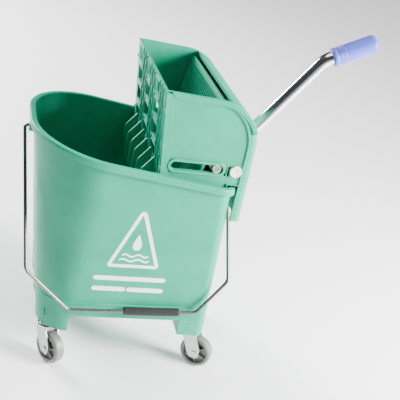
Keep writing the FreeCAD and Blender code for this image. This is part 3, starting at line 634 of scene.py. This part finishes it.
def housing_outline():
    """The side wall's outline, and the rounding that each of its edges gets towards the end wall."""
    corners = [(THROAT.x, THROAT.y), (THROAT_FOOT.x, THROAT_FOOT.y), (HOOK_INNER, THROAT_FOOT.y),
               (HOOK_INNER, HOOK_LEVEL), (HOOK_OUTER, HOOK_LEVEL), (HOOK_OUTER, SKIRT_LOW),
               (SHOULDER.x, SKIRT_LOW), (SHOULDER.x, SHOULDER.y, SHOULDER_ROUND)]
    outline = rounded(corners, ARC_STEPS)
    end_round, less_at_top, taper = 13.0, 10.5, 60
    rounds = []
    for index, point in enumerate(outline):
        after = outline[(index + 1) % len(outline)]
        middle = (point + after) / 2
        if index < SHARP_EDGES:
            rounds.append(0.8)
        elif index < len(outline) - 1:
            part = min(1.0, max(0.0, (SHOULDER.x - middle.x) / taper))
            rounds.append(end_round - less_at_top * part ** 0.8)
        else:
            rounds.append(2.0)
    return outline, rounds


def housing_blank():
    """The housing's solid form: flat sides that roll into the end wall and the shoulder."""
    outline, rounds = housing_outline()
    loops = []
    steps = 8
    quarter = [math.pi / 2 * step / steps for step in range(steps + 1)]
    for sign in (-1, 1):
        turns = quarter if sign < 0 else quarter[::-1]
        for turn in turns:
            moved = inset(outline, [each * (1 - math.sin(turn)) for each in rounds])
            loop = []
            for index, point in enumerate(moved):
                depth = (rounds[index - 1] + rounds[index]) / 2 * (1 - math.cos(turn))
                loop.append(Vector((point.x, sign * (SIDE - depth), point.y)))
            loops.append(loop)
    return Shape().bridge(loops)


def block(low, high):
    """A plain cutter between two corners."""
    low, high = Vector(low), Vector(high)
    outline = ((low.x, low.y), (high.x, low.y), (high.x, high.y), (low.x, high.y))
    loops = [[Vector((*point, level)) for point in outline] for level in (low.z, high.z)]
    return Shape().bridge(loops)


def through(outline):
    """A cutter that runs right across the housing along Y."""
    loops = [[Vector((point.x, level, point.y)) for point in outline] for level in (-200, 200)]
    return Shape().bridge(loops)


def upright(place, low, high):
    """A narrow upright round-ended outline."""
    return [Vector((point.y + place, point.x)) for point in stadium(low, high, 0, 1.6, 6)]


def chamber():
    """The housing's inner space: open below and towards the pouring end."""
    outside, below, radius, steps = -60, 200, 7.0, 5
    wall_x = SHOULDER.x - SHELL
    outline = rounded([(outside, below), (wall_x, below), (wall_x, SHOULDER.y - SHELL, SHOULDER_ROUND - SHELL),
                       (outside, THROAT.y - SHELL)], ARC_STEPS)
    half = SIDE - SHELL
    quarter = [math.pi / 2 * (step / steps) for step in range(steps + 1)]
    loops = []
    for sign in (-1, 1):
        for turn in quarter if sign < 0 else quarter[::-1]:
            moved = inset(outline, radius * (1 - math.sin(turn)))
            level = sign * (half - radius * (1 - math.cos(turn)))
            loops.append([Vector((point.x, level, point.y)) for point in moved])
    return Shape().bridge(loops)


def housing_trim(slot, sign):
    """One side wall's raised border, the bead along its top and the collar round its slot."""
    outline, rounds = housing_outline()
    count = len(outline)
    outer = [1.0] * SHARP_EDGES + [each + 0.4 for each in rounds[SHARP_EDGES:-1]] + [3.0]
    inner = [13.0] + [3.0] * (SHARP_EDGES - 1) + [each + 4.6 for each in rounds[SHARP_EDGES:-1]] + [12.5]
    plane = flat(Y * SIDE * sign, -X * sign, Z)
    shape = Shape()

    loops = []
    for edge, more, height in ((outer, 0, -0.5), (outer, 0, 1.0), (outer, 0.4, 1.8), (inner, -0.5, 2.0),
                               (inner, 0, 1.2), (inner, 0, -0.5)):
        distances = [each + more for each in edge]
        loops.append([plane((-point.x * sign, point.y), height) for point in inset(outline, distances)])
    shape.bridge(loops, wrap=True)

    bead_start, bead_end = 12, 0.9
    bead_steps = [(0, -0.5), (0, 1.6), (0.3, 2.4), (1.0, 2.9), (2.0, 3.0), (6.2, 3.0), (7.2, 2.9), (7.9, 2.4),
                  (8.2, 1.6), (8.2, -0.5)]
    rows = []
    for grown, height in bead_steps:
        moved = inset(outline, [grown + 0.15] * count)
        row = moved[bead_start:] + [moved[-1].lerp(moved[0], bead_end)]
        rows.append([plane((-point.x * sign, point.y), height) for point in row])
    for end in (0, len(rows[0]) - 1):
        shape.faces.append(tuple(len(shape.points) + step * len(rows[0]) + end for step in range(len(rows))))
    shape.bridge(rows, wrap=True, shut=False)

    collar_steps = [(-0.2, -0.6), (-0.2, 2.4), (-0.7, 3.0), (-4.0, 3.0), (-4.8, 2.2), (-5.2, -0.6)]
    return shape.stacked([Vector((-point.x * sign, point.y)) for point in slot], collar_steps, plane, wrap=True)


def make_housing():
    """The housing with its mouth, side slots, bush holes, lever slot, bail notch and small side slits."""
    half = SIDE - SHELL
    pin_low, pin_high = span("press_pin")
    pivot, _ = joint("lever_press")
    slot = stadium(SLOT_POUR, SLOT_PRESS, (pin_low.z + pin_high.z) / 2, SLOT_HALF, 12)
    turns = [math.tau * step / 40 for step in range(40)]
    bush = [Vector((pivot.x + BUSH * math.cos(turn), pivot.z + BUSH * math.sin(turn))) for turn in turns]
    lever = span("handle_tube")[0].y + 11
    relief = rounded([(115, 358.4), (121, 358.4), (121, 364), (115, 364)])
    inside, outside = 132, 200
    lever_low, lever_high = lever - LEVER_SLOT, lever + LEVER_SLOT
    cutters = [chamber(), block((-60, -half, 250), (MOUTH, half, 560)), through(slot), through(bush),
               block((inside, lever_low, LEVER_SLOT_LOW), (outside, lever_high, LEVER_SLOT_HIGH)),
               block((inside, -BAIL_NOTCH, 200), (outside, BAIL_NOTCH, BAIL_NOTCH_HIGH)), through(relief)]
    cutters += [through(upright(place, 378, 392)) for place in (108, 113.5)]
    body = ease(carve(housing_blank(), cutters, "housing"), 0.9, 3)
    trim = [outward(housing_trim(slot, sign).mesh("trim")) for sign in (-1, 1)]
    place_piece(join([body] + trim, "housing_look"), "housing_look", "wringer", MINT,
                ("wringer_housing",))


# ---------------------------------------------------------------- sieve and press plates

WINDOW_WIDE, WINDOW_TALL, ROWS = 36, 24, 5
COLUMN_PITCH, ROW_PITCH, FIRST_ROW, SHIFT = 76, 34, 335, 12
SIEVE_LOW = 314
FINS, FIN_PITCH, FIN_WALL, FIN_REACH, FIN_TOP, FIN_KNEE = 6, 35, 3, 26, 384, 358
PRESS_FOOT, PRESS_HEAD, PRESS_WALL, PRESS_HALF = Vector((60, 324)), Vector((90, 485)), 6, 120


def throat_plane():
    """The sieve plate's outer face, for outlines in -Y and up the plate from the level Z = 0."""
    lean = (THROAT.x - THROAT_FOOT.x) / (THROAT.y - THROAT_FOOT.y)
    up = Vector((lean, 0, 1)).normalized()
    origin = Vector((THROAT_FOOT.x - THROAT_FOOT.y * lean, 0, 0))
    plane = flat(origin, -Y, up)
    return lambda point, height: plane((point[0], point[1] / up.z), height)


def bar(shape, start, end, wide, low, high, plane):
    """A raised bar with rounded shoulders between two places on a plane."""
    start, end = Vector(start), Vector(end)
    along = (end - start).normalized()
    across = Vector((-along.y, along.x)) * (wide / 2)
    outline = [start - across, end - across, end + across, start + across]
    shape.stacked(outline, [(0, low), (0, high - 0.9), (0.3, high - 0.3), (0.9, high)], plane)


def add_net(shape, left, right, middle, plane):
    """Two crosses of raised bars side by side between two windows, one row high."""
    crosses, reach = 2, ROW_PITCH / 2
    step = (right - left) / crosses
    for index in range(crosses):
        start, end = left + index * step, left + (index + 1) * step
        bar(shape, (start, middle - reach), (end, middle + reach), 2.4, -0.5, 1.9, plane)
        bar(shape, (start, middle + reach), (end, middle - reach), 2.4, -0.5, 1.7, plane)


def make_sieve():
    """The plate with windows, a net of crossing bars on the bucket's side, and drain fins."""
    plane = throat_plane()
    half = SIDE - SHELL
    blank = Shape().plate([Vector((-half, SIEVE_LOW)), Vector((half, SIEVE_LOW)), Vector((half, THROAT.y)),
                           Vector((-half, THROAT.y))], -SHELL, 0, plane, 0.4)
    frame_steps = [(-0.2, -0.5), (-0.2, 0.7), (-0.6, 1.1), (-1.8, 1.1), (-2.2, 0.7), (-2.2, -0.5)]
    lefts = [-(SHIFT + column * COLUMN_PITCH) - WINDOW_WIDE / 2 for column in (-1, 0, 1)]
    gaps = [(lefts[2] + WINDOW_WIDE, lefts[1]), (lefts[1] + WINDOW_WIDE, lefts[0]),
            (lefts[0] + WINDOW_WIDE + 1, half - 5)]
    windows = []
    trim = Shape()
    for row in range(ROWS):
        low = FIRST_ROW + row * ROW_PITCH
        high = low + WINDOW_TALL
        for left in lefts:
            window = strip(left + WINDOW_WIDE / 2, WINDOW_WIDE / 2, low, high, 2.5, 4)
            windows.append(Shape().stacked(window, [(0, -20), (0, 20)], plane))
            trim.stacked(window, frame_steps, plane, wrap=True)
        for left, right in gaps:
            add_net(trim, left, right, (low + high) / 2, plane)
    foot = plane((0, SIEVE_LOW), 0).x
    fin = rounded([(foot - FIN_REACH, SIEVE_LOW, 3), (foot + 1, SIEVE_LOW), (foot - 6, FIN_TOP, 2),
                   (foot - FIN_REACH, FIN_KNEE, 10)], 6)
    for index in range(FINS):
        place = (index - (FINS - 1) / 2) * FIN_PITCH + FIN_WALL / 2
        trim.plate(fin, 0, FIN_WALL, flat(Y * place, X, Z), 0.7)
    data = join([ease(carve(blank, windows, "sieve"), 0.5), outward(trim.mesh("sieve_trim"))], "sieve_look")
    place_piece(data, "sieve_look", "wringer", MINT, ("sieve_plate",), sharp=50)


def make_press_plate():
    """The squeezing plate: upright ribs towards the sieve, braces and ears behind."""
    rise = PRESS_HEAD - PRESS_FOOT
    up = Vector((rise.x, 0, rise.y)).normalized()
    plane = flat(Vector((PRESS_FOOT.x, 0, PRESS_FOOT.y)), -Y, up)
    shape = Shape()
    shape.plate(strip(0, PRESS_HALF, 0, rise.length, 4, 5), -PRESS_WALL * up.z, 0, plane, 1.2)
    ribs, rib_pitch = 27, 8.75
    for index in range(ribs):
        rib = strip((index - (ribs - 1) / 2) * rib_pitch, 1.6, 8, rise.length - 6, 1.5, 4)
        shape.stacked(rib, [(0, -1), (0, 0.6), (0.5, 1.4), (1.1, 1.7)], plane)
    for place in (-100, -50, 0, 50, 100):
        brace = strip(place, 1.5, 8, rise.length - 8, 1, 3)
        shape.stacked(brace, [(0, 1 - PRESS_WALL), (0, -PRESS_WALL - 4), (0.8, -PRESS_WALL - 5)], plane)
    pin, _ = joint("press_tilt")
    ear_place, ear_wall, ear_reach = 92, 8, 10
    ear = rounded([(72.8, pin.z - 24), (pin.x + ear_reach, pin.z - ear_reach, 9),
                   (pin.x + ear_reach, pin.z + ear_reach, 9), (82.4, pin.z + 24)], 8)
    for side in (-1, 1):
        shape.plate(ear, 0, ear_wall, flat(Y * (ear_place * side + ear_wall / 2), X, Z), 0.7)
    piece(shape, "press_look", "press", MINT, ("press_plate",), sharp=50)


# ---------------------------------------------------------------- wheels, grips and small parts

def make_wheel(corner):
    """A moulded wheel with a rounded tread, sunk sides, spokes and a bored hub."""
    low, high = span("castor_wheel_" + corner)
    centre = (low + high) / 2
    _, axis = joint("roll_" + corner)
    half, bore, hub, radius, spokes = 9, 3.06, 7.6, 28, 6
    side = [(10.2, bore + 0.3), (10.2, hub - 0.8), (9.4, hub), (3.6, hub + 0.8), (2.8, hub + 1.8), (2.8, 18.8),
            (3.4, 20), (8, 21.2), (half - 0.3, 21.6), (half, 22.2), (half, 24), (half - 0.5, 25.6),
            (half - 1.5, 27), (half - 2.8, 27.8), (half - 4.4, radius)]
    profile = side + [(-along, out) for along, out in reversed(side)] + [(-9.9, bore), (9.9, bore)]
    shape = Shape().turned(profile, centre, axis, 72, wrap=True)
    across = axis.orthogonal().normalized()
    for index in range(spokes):
        out = Matrix.Rotation(math.tau * index / spokes, 3, axis) @ across
        rib = [Vector((hub - 1, 2)), Vector((20.4, 2)), Vector((20.4, 6.4)), Vector((hub - 1, 8.4))]
        for sign in (-1, 1):
            plane = flat(centre, out, axis * sign)
            shape.plate(rib, -1.1, 1.1, plane, 0.4)
    piece(shape, "wheel_look_" + corner, "wheel_" + corner, WHEEL,
          ("castor_wheel_" + corner,), sharp=45)


def fluted(shape, start, axis, length, radius, flutes, depth, ease_in, bore):
    """A hollow grip with shallow lengthwise flutes that fade out at its rounded ends."""
    side = axis.orthogonal().normalized()
    over = axis.cross(side)
    segments = flutes * 6
    rows = []
    for step in range(7):
        turn = math.pi / 2 * step / 6
        rows.append((ease_in * (1 - math.cos(turn)), radius - ease_in * (1 - math.sin(turn))))
    rows += [(ease_in + 2, radius), (ease_in + 5, radius)]
    middle = [(ease_in + 5 + (length - 2 * ease_in - 10) * step / 6, radius) for step in range(1, 6)]
    rows += middle + [(length - along, out) for along, out in reversed(rows)]
    loops = []
    for along, out in rows:
        fade = min(1.0, max(0.0, (min(along, length - along) - ease_in - 1) / 4))
        loop = []
        for index in range(segments):
            turn = math.tau * index / segments
            cut = depth * fade * max(0.0, math.cos(turn * flutes)) ** 2
            loop.append(start + axis * along + (side * math.cos(turn) + over * math.sin(turn)) * (out - cut))
        loops.append(loop)
    turns = [math.tau * step / segments for step in range(segments)]
    for along in (length - 0.2, 0.2):
        loops.append([start + axis * along + (side * math.cos(turn) + over * math.sin(turn)) * bore
                      for turn in turns])
    return shape.bridge(loops, wrap=True)


def make_bail_grip():
    """The short fluted grip on the bail's bar."""
    low, high = span("bail_grip")
    axis = Vector((210, 0, 5)).normalized()
    length, radius = 92, 6.6
    centre = (low + high) / 2
    start = centre - axis * (length / 2)
    shape = fluted(Shape(), start, axis, length, radius, 14, 0.7, 1.6, 2.8)
    piece(shape, "bail_grip_look", "bail", BLACK, ("bail_grip",), sharp=60, weighted=False)


def make_handle_grip():
    """The lever's grip: a slightly waisted sleeve with a collar, rings and a domed cap."""
    low, high = span("handle_grip")
    bend, end = Vector((287, 0, 533)), Vector((366, 0, 573))
    axis = (end - bend).normalized()
    centre = (low + high) / 2
    length, radius, bore = 80, 16, 11.05
    start = centre - axis * (length / 2)
    outer = [(0, bore + 1.6), (0, 13.6), (0.4, 14.8), (1.4, 15.6), (3, 16), (6, 16), (7.2, 15.6), (8, 15)]
    for ring in range(4):
        place = 10 + ring * 3.2
        outer += [(place, 14.9), (place + 0.5, 15.4), (place + 1.6, 15.5), (place + 2.3, 15.3),
                  (place + 2.8, 14.9)]
    outer += [(24, 15.2), (30, 15.4), (40, 15.5), (52, 15.7), (62, 15.9), (70, 16), (73, 15.8), (75.6, 14.9),
              (77.6, 13.2), (79, 10.6), (79.7, 7), (80, 3)]
    tail = [(75.2, 3), (75.2, bore), (1, bore), (0.3, bore + 0.5)]
    shape = Shape().turned(outer + tail, start, axis, 64, wrap=True)
    piece(shape, "handle_grip_look", "lever", BLUE, ("handle_grip",), sharp=50)


def make_bushes():
    """The white bushes: a sleeve through the wall and a cap with a raised ring and a dimple."""
    pivot, _ = joint("lever_press")
    shape = Shape()
    for side in (-1, 1):
        origin = Vector((pivot.x, side * (SIDE - SHELL), pivot.z))
        profile = [(0, 6.3), (0, 7.7), (0.3, 8), (SHELL, 8), (SHELL, 9), (SHELL + 0.4, 9.4), (SHELL + 2.6, 9.4),
                   (SHELL + 3.2, 9.1), (SHELL + 3.5, 8.6), (SHELL + 3.5, 7.4), (SHELL + 3.3, 7.2),
                   (SHELL + 2.9, 7.0), (SHELL + 2.9, 2.4), (SHELL + 2.5, 2.1), (SHELL + 2.2, 1.8),
                   (SHELL + 2.2, 0.4), (SHELL + 1.55, 0.4), (SHELL + 1.55, 6.05), (0.3, 6.05)]
        shape.turned(profile, origin, Y * side, 56, wrap=True)
    piece(shape, "bush_look", "wringer", WHITE, ("pivot_bushes",))


make_tub()
make_print()
make_housing()
make_sieve()
make_press_plate()
for corner in CORNERS:
    make_wheel(corner)
    eased_node("castor_fork_" + corner, "swivel_" + corner, ZINC, 0.5)
    eased_node("castor_stem_" + corner, "bucket", ZINC, 0.4)
    eased_node("castor_axle_" + corner, "swivel_" + corner, ZINC, 0.5)
make_bail_grip()
make_handle_grip()
make_bushes()
eased_node("lever_bracket", "lever", ZINC, 0.8)
eased_node("bracket_bolt", "lever", ZINC, 0.5)
for word in ("front", "back"):
    eased_node("lever_cam_" + word, "lever", ZINC, 0.6)
eased_node("sieve_screws", "wringer", STEEL, 0.5)

# Pieces that keep the CAD's own shape
PLAIN = {"castor_sockets": DARK, "bail_bushes": WHITE, "bail_wire": STEEL, "press_pin": STEEL,
         "slot_sliders": WHITE, "cam_rollers": WHITE, "pivot_axle": STEEL, "return_spring_front": STEEL,
         "return_spring_back": STEEL, "handle_tube": CHROME}
for label, material in PLAIN.items():
    data = frame["nodes"][label].data
    data.materials.clear()
    data.materials.append(material)


# ---------------------------------------------------------------- floor, light and camera

def make_floor():
    """A wide pale floor just under the wheels, a little bright of itself."""
    reach, level = 30000, -0.2
    corners = ((-reach, -reach), (reach, -reach), (reach, reach), (-reach, reach))
    shape = Shape()
    shape.points = [Vector((*corner, level)) for corner in corners]
    shape.faces = [(0, 1, 2, 3)]
    floor = bpy.data.objects.new("floor", shape.mesh("floor"))
    bpy.context.scene.collection.objects.link(floor)
    material = bpy.data.materials.new("pale_floor")
    material.use_nodes = True
    surface = material.node_tree.nodes["Principled BSDF"]
    surface.inputs["Base Color"].default_value = (0.8, 0.8, 0.8, 1)
    surface.inputs["Roughness"].default_value = 0.8
    surface.inputs["Emission Color"].default_value = (1, 1, 1, 1)
    surface.inputs["Emission Strength"].default_value = 0.26
    floor.data.materials.append(material)


def add_light(name, azimuth, elevation, distance, wide, tall, power):
    """A soft box that looks at the object's middle: angles in degrees, metres and watts."""
    middle = (cad_low + cad_high) / 2
    turn, rise = math.radians(azimuth), math.radians(elevation)
    back = Vector((math.sin(turn) * math.cos(rise), -math.cos(turn) * math.cos(rise), math.sin(rise)))
    data = bpy.data.lights.new(name, "AREA")
    data.shape = "RECTANGLE"
    data.size = wide
    data.size_y = tall
    data.energy = power
    light = bpy.data.objects.new(name, data)
    light.location = middle + back * distance
    light.rotation_euler = (-back).to_track_quat("-Z", "Y").to_euler()
    bpy.context.scene.collection.objects.link(light)


def add_top_light():
    """A wide, even light from straight above, which keeps the floor pale far away."""
    data = bpy.data.lights.new("top", "SUN")
    data.energy = 2.4
    data.angle = 0.9
    bpy.context.scene.collection.objects.link(bpy.data.objects.new("top", data))


def make_world():
    """A dim studio whose walls are pale near the floor."""
    world = bpy.data.worlds.new("studio")
    world.use_nodes = True
    tree = world.node_tree
    sky = tree.nodes["Background"]
    sky.inputs["Color"].default_value = (1, 1, 1, 1)
    height = node(tree, "SeparateXYZ", 2, Vector=node(tree, "TexCoord", 0))
    tree.links.new(between(tree, height, 0.03, 0.18, 0.62, 0.07), sky.inputs["Strength"])
    bpy.context.scene.world = world


def make_camera():
    """The camera, turned about its own line of sight as the object is seen tilted."""
    azimuth, elevation, roll = (math.radians(angle) for angle in (-18.24, 25.47, 13.01))
    target = Vector((120.9, 0, 269.43)) * MM
    distance, focus, width = 1.35809, 793.81, 400
    back = Vector((math.sin(azimuth) * math.cos(elevation), -math.cos(azimuth) * math.cos(elevation),
                   math.sin(elevation)))
    right = (-back).cross(Z).normalized()
    up = right.cross(-back)
    across = right * math.cos(roll) + up * math.sin(roll)
    over = up * math.cos(roll) - right * math.sin(roll)
    data = bpy.data.cameras.new("camera")
    data.sensor_width = 36
    data.lens = focus / width * data.sensor_width
    data.clip_start, data.clip_end = 0.05, 100
    camera = bpy.data.objects.new("camera", data)
    turn = Matrix((across, over, back)).transposed().to_4x4()
    camera.matrix_world = Matrix.Translation(target + back * distance) @ turn
    bpy.context.scene.collection.objects.link(camera)
    bpy.context.scene.camera = camera


make_floor()
make_world()
add_light("key", 60, 19, 1.6, 0.6, 0.8, 168)
add_light("rim", -142, 22, 3.2, 1.0, 1.6, 300)
add_top_light()
make_camera()
